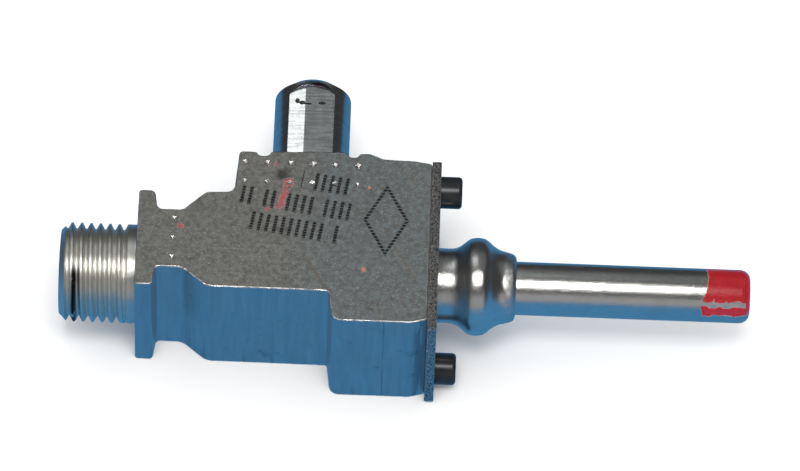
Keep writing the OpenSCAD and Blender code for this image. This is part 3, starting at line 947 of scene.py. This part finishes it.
# %% [markdown]
# ## Steel finishes
#
# The bonnet and the stem are steel with a satin plating: nearly white, slightly
# cloudy, with very fine turning rings and a few rubs. The cover plate was sheared
# from sheet, so its rim is rough and sparkles. The screws have an oiled black
# oxide that is thin on the edges.

# %% Plated, sheared and blackened steel
def plated(tree):
    """Base colour, roughness and normal of the satin plating."""
    marks = effect(tree, "turning_marks", Per_mm=7.0, Along_X=1.0)
    grain = effect(tree, "fine_grain", Per_mm=2.6, Cut=0.62)
    cloud = effect(tree, "stains", Per_mm=0.5, Cut=0.62)
    rub = effect(tree, "fine_scratches", Per_mm=0.6, Amount=0.6)
    base = blend_colour(tree, cloud[1], colour(0.72, 0.71, 0.69), colour(0.94, 0.93, 0.91))
    base = blend_colour(tree, calc(tree, "MULTIPLY", cloud[0], 0.3), base,
                        colour(0.36, 0.33, 0.29))
    base = blend_colour(tree, calc(tree, "MULTIPLY", rub[0], 0.4), base, colour(0.92, 0.92, 0.92))
    rough = blend_value(tree, marks[1], 0.17, 0.27)
    bump = emboss(tree, grain[0], 0.04, 0.8, emboss(tree, marks[0], 0.006, 0.5))
    return base, rough, bump


def make_plated():
    """The plating on the bonnet, whose nose was rolled in and is rough there."""
    material, tree, shader = new_finish("satin_plating", Metallic=1.0)
    base, rough, bump = plated(tree)
    x = put(tree, "SeparateXYZ", {0: scaled(tree, 1.0)}).outputs[0]
    rolled = between(tree, x, bonnet_high.x / MM - 1.6, bonnet_high.x / MM - 0.9)
    rolled = calc(tree, "MULTIPLY", rolled, noise(tree, object_place(tree), 2.2, 4, 0.7))
    bump = emboss(tree, rolled, 0.2, 0.8, bump)
    feed(tree, shader, Base_Color=base, Roughness=rough, Normal=bump)
    return material


def make_sheared():
    material, tree, shader = new_finish("sheared_steel", Metallic=1.0)
    place = object_place(tree)
    torn = noise(tree, place, 3.0, 6, 0.8, stretch=(1.6, 1, 1))
    grain = effect(tree, "fine_grain", Per_mm=4.0, Cut=0.54)
    edge = effect(tree, "worn_edge", Radius=0.12 * MM, Break=0.45)
    base = blend_colour(tree, between(tree, torn, 0.35, 0.65), colour(0.10, 0.10, 0.10),
                        colour(0.85, 0.85, 0.84))
    base = blend_colour(tree, calc(tree, "MAXIMUM", edge[0], calc(tree, "MULTIPLY", grain[1], 0.9)),
                        base, colour(1.0, 0.99, 0.97))
    rough = blend_value(tree, torn, 0.5, 0.22)
    bump = emboss(tree, torn, 0.30, 1.0, emboss(tree, grain[0], 0.05, 0.8))
    feed(tree, shader, Base_Color=base, Roughness=rough, Normal=bump)
    return material


def make_stamped():
    material, tree, shader = new_finish("stamped_steel", Metallic=1.0)
    grain = effect(tree, "fine_grain", Per_mm=4.0, Cut=0.60)
    cloud = effect(tree, "stains", Per_mm=0.35, Cut=0.57)
    rub = effect(tree, "fine_scratches", Per_mm=0.4, Amount=0.8)
    base = blend_colour(tree, cloud[1], colour(0.42, 0.42, 0.42), colour(0.66, 0.66, 0.65))
    base = blend_colour(tree, calc(tree, "MULTIPLY", cloud[0], 0.3), base,
                        colour(0.25, 0.22, 0.19))
    base = blend_colour(tree, calc(tree, "MULTIPLY", rub[0], 0.5), base, colour(0.85, 0.85, 0.85))
    rough = blend_value(tree, cloud[1], 0.25, 0.42)
    bump = emboss(tree, grain[0], 0.02, 0.6)
    feed(tree, shader, Base_Color=base, Roughness=rough, Normal=bump)
    return material


def make_blackened():
    material, tree, shader = new_finish("black_oxide", Metallic=0.6, Coat_Weight=0.25,
                                        Coat_Roughness=0.2)
    grain = effect(tree, "fine_grain", Per_mm=5.0, Cut=0.62)
    edge = effect(tree, "worn_edge", Radius=0.1 * MM, Break=0.5)
    cloud = effect(tree, "stains", Per_mm=0.8, Cut=0.6)
    base = blend_colour(tree, cloud[1], colour(0.015, 0.017, 0.020), colour(0.055, 0.058, 0.06))
    base = blend_colour(tree, calc(tree, "MULTIPLY", edge[0], 0.6), base, colour(0.35, 0.33, 0.31))
    rough = blend_value(tree, cloud[1], 0.25, 0.42)
    bump = emboss(tree, grain[0], 0.012, 0.6)
    feed(tree, shader, Base_Color=base, Roughness=rough, Normal=bump)
    return material


plating = make_plated()
sheared = make_sheared()
stamped = make_stamped()
blackened = make_blackened()
print("steel:", plating.name, sheared.name, stamped.name, blackened.name)

# %% [markdown]
# ## The cover plate
#
# A rectangle stamped from 1 mm sheet. The punch rounds one rim and tears the
# other. A cube takes its size from the CAD plate, its short corners are bevelled,
# then its rims. The hole for the bonnet and the two screw holes are cut last.

# %% Stamp the plate
plate_mid = (plate_low + plate_high) / 2
deselect()
bpy.ops.mesh.primitive_cube_add(size=1, location=plate_mid, scale=plate_high - plate_low)
plate = new_piece("cover_plate_stamped")
activate(plate)
bpy.ops.object.transform_apply(location=True, rotation=True, scale=True)
plate.data.materials.append(stamped)
plate.data.materials.append(sheared)
edit(plate, "EDGE", lambda e: abs(e.verts[0].co.x - e.verts[1].co.x) > MM / 2)
bpy.ops.mesh.bevel(offset=0.35 * MM, segments=4, affect="EDGES")
edit(plate, "EDGE", lambda e: {round(abs(f.normal.x)) for f in e.link_faces} == {0, 1})
bpy.ops.mesh.bevel(offset=0.1 * MM, segments=2, affect="EDGES")
tidy_mesh(plate)
for face in plate.data.polygons:
    face.material_index = 0 if abs(face.normal.x) > 0.9 else 1
report(plate)

# %% Punch its holes
BONNET_HOLE = 4.3
holes = [[0, 0, BONNET_HOLE]] + [[y, z, 1.2] for y, z in screw_places]
for y, z, radius in holes:
    deselect()
    bpy.ops.mesh.primitive_cylinder_add(
        vertices=96, radius=radius * MM, depth=4 * MM, rotation=(0, math.pi / 2, 0),
        location=(plate_mid.x, y * MM, axis_z + z * MM))
    tool = new_piece("punch")
    tool.data.materials.append(sheared)
    combine(plate, tool, "DIFFERENCE")
finish_piece(plate, "root", ["cover_plate"])

# %% [markdown]
# ## The bonnet
#
# A thin steel shell, drawn in a press: a flange behind the plate, a neck, a bead
# that swells over the stem's seal, and a nose that guides the stem. The outside
# is a curve through a few measured radii, the inside follows it one wall
# thickness further in, and one spin makes the shell.

# %% Spin the bonnet
WALL = 0.6
flange_r = (bonnet_high.z - bonnet_low.z) / 2 / MM
flange_back = bonnet_low.x / MM
nose_end = bonnet_high.x / MM
bore_r = 3.05
BEAD_ROWS = [
    [15.3, 4.2], [16.3, 4.2], [16.9, 4.31], [17.4, 4.58], [18.0, 5.06], [18.45, 5.37],
    [19.0, 5.49], [19.4, 5.5], [20.0, 5.4], [20.45, 5.14], [21.0, 4.66], [21.7, 4.24],
    [22.4, 4.03], [23.0, 3.88], [23.35, 3.72], [23.58, 3.45]]
outside = [[cover_x, flange_r], [cover_x, 4.2], *smooth_outline(BEAD_ROWS, 4)]
neck_inside = 4.2 - WALL
inside_rows = [[x, r - WALL] for x, r in BEAD_ROWS if x < 20.8]
shell = [[flange_back, neck_inside], [flange_back, flange_r], *outside,
         [nose_end, bore_r + 0.12], [nose_end - 0.1, bore_r], [21.9, bore_r], [21.0, 3.75],
         *reversed(smooth_outline(inside_rows, 3))]
bonnet = turned("bonnet_shell", shell, steps=128)
bonnet.data.materials.append(plating)
finish_piece(bonnet, "root", ["stem_bonnet"])

# %% [markdown]
# ## The stem and its red tip
#
# The stem is a 6 mm rod with a drilled middle, a rounded end and a flat for the
# knob. The plating shows on it too, and the tip was dipped in red paint, which
# ran on one side and was scraped off in a strip. The paint is a mask by distance
# along the stem and by angle round it, with ragged edges.

# %% Painted plating
stem_tip = stem_high.x / MM
stem_inner = stem_low.x / MM
PAINT_LENGTH = 4.9
PAINT_AWAY_FROM, PAINT_AWAY_TO = 137, 149
PAINT_END_ANGLE = 172


def make_painted_stem():
    material, tree, shader = new_finish("painted_stem", Coat_Roughness=0.08)
    base, rough, bump = plated(tree)
    split = put(tree, "SeparateXYZ", {0: scaled(tree, 1.0)})
    shake = noise(tree, object_place(tree), 1.1, 5, 0.65)
    shake = calc(tree, "SUBTRACT", shake, 0.5)
    height = calc(tree, "SUBTRACT", split.outputs[2], axis_z / MM)
    angle = calc(tree, "MULTIPLY", calc(tree, "ARCTAN2", height, split.outputs[1]), 180 / math.pi)
    behind = calc(tree, "LESS_THAN", angle, -60.0)
    angle = calc(tree, "ADD", angle, calc(tree, "MULTIPLY", behind, 360.0))
    angle = calc(tree, "ADD", angle, calc(tree, "MULTIPLY", shake, 26.0))
    along = calc(tree, "ADD", split.outputs[0], calc(tree, "MULTIPLY", shake, 1.4))
    drip = calc(tree, "MULTIPLY", between(tree, angle, 95.0, 150.0), 0.6)
    start = calc(tree, "SUBTRACT", stem_tip - PAINT_LENGTH, drip)
    dipped = between(tree, calc(tree, "SUBTRACT", along, start), -0.05, 0.05)
    scraped = calc(tree, "MULTIPLY", between(tree, angle, PAINT_AWAY_FROM - 1, PAINT_AWAY_FROM + 1),
                   calc(tree, "SUBTRACT", 1.0, between(tree, angle, PAINT_AWAY_TO - 1,
                                                       PAINT_AWAY_TO + 1)))
    scraped = calc(tree, "MULTIPLY", scraped, calc(tree, "SUBTRACT", 1.0, between(
        tree, along, stem_tip - 0.8, stem_tip - 0.5)))
    round_side = calc(tree, "SUBTRACT", 1.0, between(tree, angle, PAINT_END_ANGLE - 2,
                                                     PAINT_END_ANGLE + 2))
    paint = calc(tree, "MULTIPLY", dipped, calc(tree, "SUBTRACT", 1.0, scraped))
    paint = calc(tree, "MULTIPLY", paint, round_side)
    chips = noise(tree, object_place(tree), 2.4, 4, 0.7)
    paint = calc(tree, "MULTIPLY", paint, calc(tree, "SUBTRACT", 1.0, between(
        tree, chips, 0.68, 0.71)))
    thick = noise(tree, object_place(tree), 0.8, 3, 0.5)
    red = blend_colour(tree, thick, colour(0.24, 0.003, 0.008), colour(0.44, 0.006, 0.012))
    base = blend_colour(tree, paint, base, red)
    rough = blend_value(tree, paint, rough, blend_value(tree, thick, 0.18, 0.34))
    film = emboss(tree, calc(tree, "ADD", paint, calc(tree, "MULTIPLY", thick, 0.5)), 0.06, 0.6, bump)
    feed(tree, shader, Base_Color=base, Roughness=rough, Normal=film,
         Metallic=calc(tree, "SUBTRACT", 1.0, paint),
         Coat_Weight=calc(tree, "MULTIPLY", paint, 0.8))
    return material


painted_stem = make_painted_stem()

# %% Turn the stem
stem_r = (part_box("stem")[1].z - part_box("stem")[0].z) / 2 / MM
shoulder_x = 12.85
neck_r = 1.9
snap_groove = [6.95, 7.3]
stem_rows = [
    [stem_inner, 1.2], [stem_inner, neck_r], [snap_groove[0], neck_r], [snap_groove[0], 1.65],
    [snap_groove[1], 1.65], [snap_groove[1], neck_r], [shoulder_x, neck_r],
    [shoulder_x, stem_r], [stem_tip - 1.05, stem_r], [stem_tip - 0.65, stem_r - 0.1],
    [stem_tip - 0.3, stem_r - 0.33], [stem_tip - 0.08, stem_r - 0.64],
    [stem_tip, stem_r - 0.95], [stem_tip, 1.2]]
stem = turned("stem_turned", stem_rows, steps=128)
stem.data.materials.append(painted_stem)
FLAT_LENGTH = 12
FLAT_HEIGHT = 2.2
FLAT_TURN = math.radians(-45)
flat_out = Vector((0, math.cos(FLAT_TURN), math.sin(FLAT_TURN)))
flat_middle = Vector(((stem_tip - FLAT_LENGTH / 2 + 0.5) * MM, 0, axis_z))
deselect()
bpy.ops.mesh.primitive_cube_add(
    size=1, rotation=(FLAT_TURN, 0, 0), scale=((FLAT_LENGTH + 1) * MM, 2 * MM, 8 * MM),
    location=flat_middle + flat_out * (FLAT_HEIGHT + 1) * MM)
tool = new_piece("flat_cutter")
tool.data.materials.append(painted_stem)
combine(stem, tool, "DIFFERENCE")
tidy_mesh(stem)
finish_piece(stem, "stem", ["stem"])

# %% [markdown]
# ## Two cap screws
#
# Small socket screws in two diagonal corners. One is modelled: a cylinder for the
# head with a rounded rim, a six-sided socket cut into it, and a plain shank. The
# other is a copy with its own mesh, moved to the opposite corner.

# %% Model one screw and copy it
upper_low, upper_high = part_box("cover_screw_upper")
lower_low, lower_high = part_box("cover_screw_lower")
head_x = plate_high.x
head_end = upper_high.x
head_r = (upper_high.z - upper_low.z) / 2
screw_place = Vector((0, (upper_low.y + upper_high.y) / 2, (upper_low.z + upper_high.z) / 2))
across = Vector((0, (lower_low.y + lower_high.y) / 2, (lower_low.z + lower_high.z) / 2))
LYING = (0, math.pi / 2, 0)
deselect()
bpy.ops.mesh.primitive_cylinder_add(
    vertices=64, radius=head_r, depth=head_end - head_x, rotation=LYING,
    location=screw_place + Vector(((head_x + head_end) / 2, 0, 0)))
screw = new_piece("cap_screw_upper")
activate(screw)
bpy.ops.object.transform_apply(location=True, rotation=True, scale=True)
edit(screw, "EDGE", lambda e: all(v.co.x > head_end - MM / 100 for v in e.verts)
     and len({round(f.normal.x) for f in e.link_faces}) == 2)
bpy.ops.mesh.bevel(offset=0.42 * MM, segments=5, affect="EDGES")
tidy_mesh(screw)
screw.data.materials.append(blackened)
for sides, radius, start, end, how in (
        (6, 1.14, head_end - 1.1 * MM, head_end + MM, "DIFFERENCE"),
        (32, 1.09, upper_low.x, head_x + 0.05 * MM, "UNION")):
    deselect()
    bpy.ops.mesh.primitive_cylinder_add(
        vertices=sides, radius=radius * MM, depth=end - start, rotation=LYING,
        location=screw_place + Vector(((start + end) / 2, 0, 0)))
    tool = new_piece("screw_tool")
    tool.data.materials.append(blackened)
    combine(screw, tool, how)
activate(screw)
bpy.ops.object.duplicate(linked=False)
second = new_piece("cap_screw_lower")
bpy.ops.transform.translate(value=across - screw_place)
finish_piece(screw, "root", ["cover_screw_upper"])
finish_piece(second, "root", ["cover_screw_lower"])

# %% [markdown]
# ## The return spring
#
# The spring sits inside, behind the drive collar, and closes as the stem is
# pushed. A small circle is swept along a helix, and its first and last turns are
# then pressed nearly flat, as closed ends are.

# %% Wind the spring
spring_low, spring_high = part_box("return_spring")
WIRE_R = 0.3
COIL_R = 4.7
COILS = 4.5
COIL_STEPS = 48
END_RISE = 0.04
deselect()
bpy.ops.mesh.primitive_circle_add(vertices=12, radius=WIRE_R * MM, location=(0, 0, axis_z))
spring = new_piece("return_spring_wound")
for vertex in spring.data.vertices:
    vertex.co = (vertex.co.x + spring_low.x + WIRE_R * MM, COIL_R * MM + vertex.co.y, 0)
activate(spring)
bpy.ops.object.modifier_add(type="SCREW")
coil = spring.modifiers[-1]
coil.axis = "X"
coil.angle = math.tau * COILS
coil.screw_offset = 0
coil.steps = coil.render_steps = round(COIL_STEPS * COILS)
coil.use_normal_calculate = False
bpy.ops.object.modifier_apply(modifier=coil.name)
spring_rise = spring_high.x - spring_low.x - 2 * WIRE_R * MM
for index, vertex in enumerate(spring.data.vertices):
    t = index // 12 / COIL_STEPS
    if t < 1:
        rise = END_RISE * t
    elif t > COILS - 1:
        rise = 1 - END_RISE * (COILS - t)
    else:
        rise = END_RISE + (1 - 2 * END_RISE) * (t - 1) / (COILS - 2)
    vertex.co.x += spring_rise * rise
edit(spring, "EDGE")
bpy.ops.mesh.fill_holes(sides=12)
edit(spring)
bpy.ops.mesh.normals_make_consistent(inside=False)
finish_piece(spring, "plug", ["return_spring"])
push = next(j for j in frame["joints"] if j["name"] == "stem_push")
print("push joint:", push)

# %% [markdown]
# ## Finishes for what stays hidden
#
# The plug, its washer, the bypass screw, the rings and the collar keep their CAD
# shapes, since nothing but a section shows them. They still get real finishes:
# turned brass with a film of grease, stamped steel, spring steel and nitrile.

# %% Brass, spring steel and nitrile
def make_brass():
    material, tree, shader = new_finish("turned_brass", Metallic=1.0, Coat_Weight=0.15)
    marks = effect(tree, "turning_marks", Per_mm=6.0, Along_X=1.0)
    cloud = effect(tree, "stains", Per_mm=0.4, Cut=0.58)
    base = blend_colour(tree, cloud[1], colour(0.62, 0.42, 0.15), colour(0.88, 0.68, 0.34))
    base = blend_colour(tree, calc(tree, "MULTIPLY", cloud[0], 0.3), base, colour(0.25, 0.15, 0.06))
    rough = blend_value(tree, marks[1], 0.18, 0.34)
    feed(tree, shader, Base_Color=base, Roughness=rough, Normal=emboss(tree, marks[0], 0.01, 0.6))
    return material


def make_spring_steel():
    material, tree, shader = new_finish("spring_steel", Metallic=1.0)
    grain = effect(tree, "fine_grain", Per_mm=5.0, Cut=0.6)
    cloud = effect(tree, "stains", Per_mm=0.6, Cut=0.57)
    base = blend_colour(tree, cloud[1], colour(0.30, 0.31, 0.33), colour(0.55, 0.56, 0.58))
    base = blend_colour(tree, calc(tree, "MULTIPLY", cloud[0], 0.4), base, colour(0.12, 0.10, 0.09))
    rough = blend_value(tree, grain[0], 0.2, 0.4)
    feed(tree, shader, Base_Color=base, Roughness=rough, Normal=emboss(tree, grain[0], 0.01, 0.5))
    return material


def make_nitrile():
    material, tree, shader = new_finish("nitrile_rubber", Metallic=0.0)
    grain = effect(tree, "fine_grain", Per_mm=8.0, Cut=0.6)
    cloud = effect(tree, "stains", Per_mm=0.8, Cut=0.55)
    base = blend_colour(tree, cloud[1], colour(0.012, 0.012, 0.013), colour(0.035, 0.035, 0.036))
    base = blend_colour(tree, calc(tree, "MULTIPLY", cloud[0], 0.3), base, colour(0.10, 0.09, 0.08))
    rough = blend_value(tree, cloud[1], 0.38, 0.6)
    feed(tree, shader, Base_Color=base, Roughness=rough, Normal=emboss(tree, grain[0], 0.008, 0.5))
    return material


brass = make_brass()
spring_steel = make_spring_steel()
nitrile = make_nitrile()
spring.data.materials.append(spring_steel)
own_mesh(spring)
KEPT_NODES = {
    "plug": brass, "bypass_screw": brass, "seat_washer": stamped, "stop_ring": stamped,
    "drive_collar": stamped, "stem_snap_ring": spring_steel, "bypass_o_ring": nitrile,
    "stem_seal": nitrile}
for name, finish in KEPT_NODES.items():
    for material_slot in frame["nodes"][name].material_slots:
        material_slot.material = finish
print("kept nodes:", ", ".join(KEPT_NODES))

# %% [markdown]
# ## Stage, light and camera
#
# Metal shows what surrounds it. The valve lies on a pale floor in an even white
# room, but its mirror-like skin sees other things: a soft lamp beside the camera,
# darkness overhead, a dim panel low in front and a blue table top. So the world
# is dark for reflections only, and a blue sheet that only reflections see lies
# just over the floor.

# %% Floor and what the metal mirrors
TABLE_EDGE = 0.042
deselect()
bpy.ops.mesh.primitive_plane_add(size=3, location=(0, 0, -0.02 * MM))
floor = new_piece("floor")
paper, tree, shader = new_finish("pale_paper", Roughness=0.9)
tint = noise(tree, object_place(tree), 0.02, 2, 0.5)
feed(tree, shader, Base_Color=blend_colour(
    tree, tint, colour(0.93, 0.93, 0.93), colour(0.96, 0.96, 0.96)))
floor.data.materials.append(paper)
floor.visible_glossy = False
deselect()
bpy.ops.mesh.primitive_plane_add(size=1.6, location=(0, TABLE_EDGE - 0.8, -0.01 * MM))
table = new_piece("blue_table")
table_top = bpy.data.materials.new("blue_table_top")
table_top.use_nodes = True
table_top.node_tree.nodes.clear()
glow = put(table_top.node_tree, "Emission", {"Color": colour(0.055, 0.19, 0.36), "Strength": 1.15})
table_out = put(table_top.node_tree, "OutputMaterial", {"Surface": glow.outputs[0]})
table.data.materials.append(table_top)
for ray in ("camera", "diffuse", "transmission", "volume_scatter", "shadow"):
    setattr(table, "visible_" + ray, False)

# %% World and lamps
WORLD_LIGHT = 0.95
WORLD_MIRRORED = 0.045
world = bpy.data.worlds.new("studio")
bpy.context.scene.world = world
world.use_nodes = True
world.node_tree.nodes.clear()
path = put(world.node_tree, "LightPath")
level = blend_value(world.node_tree, path.outputs["Is Glossy Ray"], WORLD_LIGHT, WORLD_MIRRORED)
sky = put(world.node_tree, "Background", {"Color": colour(1, 1, 1), "Strength": level})
world_out = put(world.node_tree, "OutputWorld", {"Surface": sky.outputs[0]})
world.cycles.sampling_method = "NONE"

LOOK_AT = Vector((10.64, 0, axis_z / MM)) * MM


def direction(azimuth, elevation):
    """Unit vector from the valve towards a lamp or camera, azimuth 0 on its -Y side."""
    a, e = math.radians(azimuth), math.radians(elevation)
    return Vector((math.sin(a) * math.cos(e), -math.cos(a) * math.cos(e), math.sin(e)))


def soft_lamp(name, azimuth, elevation, distance, width, height, radiance, tint=(1, 1, 1)):
    """Area lamp that faces the valve. Its power follows from its size and brightness."""
    back = direction(azimuth, elevation)
    deselect()
    bpy.ops.object.light_add(type="AREA", location=LOOK_AT + back * distance)
    lamp = bpy.context.object
    lamp.name = name
    lamp.data.shape = "RECTANGLE"
    lamp.data.size, lamp.data.size_y = width, height
    lamp.data.energy = radiance * math.pi * width * height
    lamp.data.color = tint
    lamp.rotation_euler = back.to_track_quat("Z", "Y").to_euler()
    lamp.visible_camera = False
    return lamp


soft_lamp("key", 0, 76, 0.75, 0.36, 0.22, 8.5, (1.0, 0.99, 0.97))
soft_lamp("low_front", 0, 20, 0.9, 1.8, 0.6, 0.28)
soft_lamp("window_behind", 200, 57, 0.8, 0.13, 0.34, 1.5, (0.97, 1.0, 1.0))
soft_lamp("ceiling_behind", 180, 52, 1.2, 2.2, 0.9, 0.09, (0.9, 1.0, 1.0))

# %% Camera
CAMERA_ELEVATION = 56.594
CAMERA_ROLL = math.radians(2.218)
CAMERA_DISTANCE = 0.8429
RAISED = 5.443 * MM
back = direction(-0.09, CAMERA_ELEVATION)
right = Vector((0, 0, 1)).cross(back).normalized()
up = back.cross(right)
up_rolled = up * math.cos(CAMERA_ROLL) - right * math.sin(CAMERA_ROLL)
right_rolled = right * math.cos(CAMERA_ROLL) + up * math.sin(CAMERA_ROLL)
bpy.ops.object.camera_add(location=LOOK_AT + back * CAMERA_DISTANCE + up_rolled * RAISED)
camera = bpy.context.object
camera.name = "camera"
camera.rotation_euler = Matrix((right_rolled, up_rolled, back)).transposed().to_euler()
camera.data.lens = 337.8
camera.data.sensor_width = 36
camera.data.clip_start = 0.05
bpy.context.scene.camera = camera
bpy.context.scene.view_settings.view_transform = "Standard"
print("camera at", [round(v, 3) for v in camera.location])
